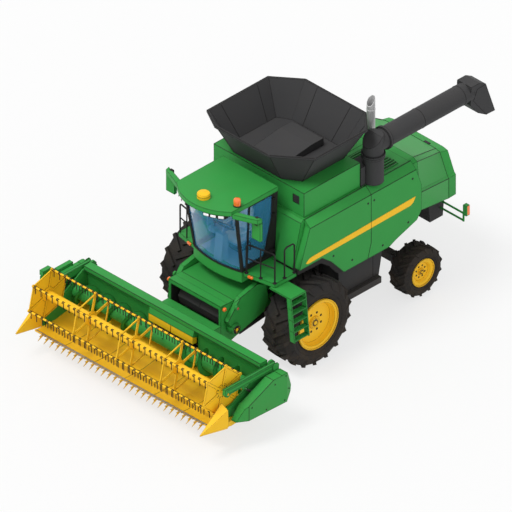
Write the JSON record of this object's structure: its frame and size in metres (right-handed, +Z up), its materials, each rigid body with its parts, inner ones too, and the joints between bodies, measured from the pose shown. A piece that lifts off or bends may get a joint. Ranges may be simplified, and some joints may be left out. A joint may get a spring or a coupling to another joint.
{
  "type": "combine harvester",
  "caption": "Self-propelled combine harvester with a cab, grain tank with flared hopper, swinging unloading auger, and a wide header with tined reel, cross auger and cutterbar.",
  "frame": {"origin": "on the ground, below the middle of the machine's bounding box", "axes": "+Y towards the rear along the machine, the header at -Y; +X to the machine's left, the side of the ladder and unloading auger; +Z up from the ground"},
  "size_m": [6.04, 9.846, 4.97],
  "materials": {
    "black_plastic": "matt",
    "cast": "painted dark",
    "chrome": "polished",
    "dark_metal": "matt dark paint",
    "glass": "tinted",
    "green": "satin paint",
    "seat_fabric": "woven",
    "steel": "brushed",
    "tyre": "matt rubber",
    "yellow": "satin paint"
  },
  "bodies": {
    "machine": {"cab_base": "green", "cab_frame": "black_plastic", "cab_roof": "green", "cab_windows": "glass", "chopper": "dark_metal", "decks": "green", "drawbar": "dark_metal", "engine": "cast", "engine_deck": "green", "exhaust": "steel", "frame": "dark_metal", "front_axle": "dark_metal", "handrails": "black_plastic", "hopper": "dark_metal", "ladder": "green", "lower_body": "dark_metal", "mirrors": "green", "rear_axle": "dark_metal", "rear_hood": "green", "rear_lights": "green", "roof_lights": "green", "seat": "seat_fabric", "side_panels": "green", "steering": "black_plastic", "tank_body": "green", "turret": "dark_metal", "upper_body": "green"},
    "front_left_wheel": {"front_left_rim": "yellow", "front_left_tyre": "tyre"},
    "front_right_wheel": {"front_right_rim": "yellow", "front_right_tyre": "tyre"},
    "rear_left_wheel": {"rear_left_rim": "yellow", "rear_left_tyre": "tyre"},
    "rear_right_wheel": {"rear_right_rim": "yellow", "rear_right_tyre": "tyre"},
    "left_knuckle": {"left_knuckle": "dark_metal"},
    "right_knuckle": {"right_knuckle": "dark_metal"},
    "cab_door": {"door_frame": "black_plastic", "door_glass": "glass"},
    "unloading_auger": {"unload_tube": "dark_metal"},
    "header": {"feeder_house": "green", "header_floor": "yellow", "header_trough": "green", "header_ends": "green", "cutterbar": "yellow", "feed_covers": "yellow"},
    "cross_auger": {"cross_auger": "green"},
    "reel_arms": {"reel_arms": "green"},
    "reel": {"reel": "yellow"},
    "lift_barrels": {"lift_barrels": "dark_metal"},
    "lift_rods": {"lift_rods": "chrome"},
    "reel_barrels": {"reel_barrels": "dark_metal"},
    "reel_rods": {"reel_rods": "chrome"},
    "bat_1": {"bat_1": "yellow"},
    "bat_2": {"bat_2": "yellow"},
    "bat_3": {"bat_3": "yellow"},
    "bat_4": {"bat_4": "yellow"},
    "bat_5": {"bat_5": "yellow"},
    "bat_6": {"bat_6": "yellow"}
  },
  "joints": [
    {"name": "front_left_spin", "type": "hinge", "parent": "machine", "child": "front_left_wheel", "pos_m": [1.5, -0.577, 1], "axis": [1, 0, 0], "continuous": true},
    {"name": "front_right_spin", "type": "hinge", "parent": "machine", "child": "front_right_wheel", "pos_m": [-1.5, -0.577, 1], "axis": [1, 0, 0], "continuous": true},
    {"name": "steer_left", "type": "hinge", "parent": "machine", "child": "left_knuckle", "pos_m": [0.9, 2.783, 0.575], "axis": [0, 0, 1], "range_deg": [-30, 30]},
    {"name": "steer_right", "type": "hinge", "parent": "machine", "child": "right_knuckle", "pos_m": [-0.9, 2.783, 0.575], "axis": [0, 0, 1], "range_deg": [-30, 30]},
    {"name": "rear_left_spin", "type": "hinge", "parent": "left_knuckle", "child": "rear_left_wheel", "pos_m": [1.35, 2.783, 0.575], "axis": [1, 0, 0], "continuous": true},
    {"name": "rear_right_spin", "type": "hinge", "parent": "right_knuckle", "child": "rear_right_wheel", "pos_m": [-1.35, 2.783, 0.575], "axis": [1, 0, 0], "continuous": true},
    {"name": "cab_door_swing", "type": "hinge", "parent": "machine", "child": "cab_door", "pos_m": [0.818, -0.827, 2.4], "axis": [0, 0, 1], "range_deg": [0, 55]},
    {"name": "auger_swing", "type": "hinge", "parent": "machine", "child": "unloading_auger", "pos_m": [1.35, 1.543, 4.05], "axis": [0, 0, -1], "range_deg": [0, 100]},
    {"name": "header_lift", "type": "hinge", "parent": "machine", "child": "header", "pos_m": [0, -0.977, 1.45], "axis": [-1, 0, 0], "range_deg": [-7, 10]},
    {"name": "lift_barrel_pivot", "type": "hinge", "parent": "machine", "child": "lift_barrels", "pos_m": [0, -0.857, 0.87], "axis": [-1, 0, 0], "range_deg": [-6.66, 9.5]},
    {"name": "lift_rod_slide", "type": "slide", "parent": "lift_barrels", "child": "lift_rods", "axis": [0, -0.9931, -0.1173], "range_m": [-0.07184, 0.10254]},
    {"name": "cross_auger_spin", "type": "hinge", "parent": "header", "child": "cross_auger", "pos_m": [0, -3.257, 1.02], "axis": [1, 0, 0], "continuous": true},
    {"name": "reel_raise", "type": "hinge", "parent": "header", "child": "reel_arms", "pos_m": [0, -2.777, 1.44], "axis": [-1, 0, 0], "range_deg": [0, 20]},
    {"name": "reel_barrel_pivot", "type": "hinge", "parent": "header", "child": "reel_barrels", "pos_m": [0, -3.277, 0.98], "axis": [-1, 0, 0], "range_deg": [-0.01, 20.77]},
    {"name": "reel_rod_slide", "type": "slide", "parent": "reel_barrels", "child": "reel_rods", "axis": [0, -0.8, 0.6], "range_m": [-0.0002, 0.23583]},
    {"name": "reel_spin", "type": "hinge", "parent": "reel_arms", "child": "reel", "pos_m": [0, -4.137, 1.36], "axis": [1, 0, 0], "continuous": true},
    {"name": "bat_1_turn", "type": "hinge", "parent": "reel", "child": "bat_1", "pos_m": [0, -3.58712, 1.52811], "axis": [1, 0, 0], "continuous": true},
    {"name": "bat_2_turn", "type": "hinge", "parent": "reel", "child": "bat_2", "pos_m": [0, -4.00765, 1.92026], "axis": [1, 0, 0], "continuous": true},
    {"name": "bat_3_turn", "type": "hinge", "parent": "reel", "child": "bat_3", "pos_m": [0, -4.55753, 1.75215], "axis": [1, 0, 0], "continuous": true},
    {"name": "bat_4_turn", "type": "hinge", "parent": "reel", "child": "bat_4", "pos_m": [0, -4.68688, 1.19189], "axis": [1, 0, 0], "continuous": true},
    {"name": "bat_5_turn", "type": "hinge", "parent": "reel", "child": "bat_5", "pos_m": [0, -4.26635, 0.79974], "axis": [1, 0, 0], "continuous": true},
    {"name": "bat_6_turn", "type": "hinge", "parent": "reel", "child": "bat_6", "pos_m": [0, -3.71647, 0.96785], "axis": [1, 0, 0], "continuous": true}
  ],
  "couplings": [
    {"joint": "steer_right", "follows": "steer_left", "ratio": 1},
    {"joint": "lift_barrel_pivot", "follows": "header_lift", "ratio": 0.9494},
    {"joint": "lift_rod_slide", "follows": "header_lift", "m_per_rad": 0.58637},
    {"joint": "reel_barrel_pivot", "follows": "reel_raise", "ratio": 1.0379},
    {"joint": "reel_rod_slide", "follows": "reel_raise", "m_per_rad": 0.67502},
    {"joint": "bat_1_turn", "follows": "reel_spin", "ratio": -1},
    {"joint": "bat_2_turn", "follows": "reel_spin", "ratio": -1},
    {"joint": "bat_3_turn", "follows": "reel_spin", "ratio": -1},
    {"joint": "bat_4_turn", "follows": "reel_spin", "ratio": -1},
    {"joint": "bat_5_turn", "follows": "reel_spin", "ratio": -1},
    {"joint": "bat_6_turn", "follows": "reel_spin", "ratio": -1}
  ]
}
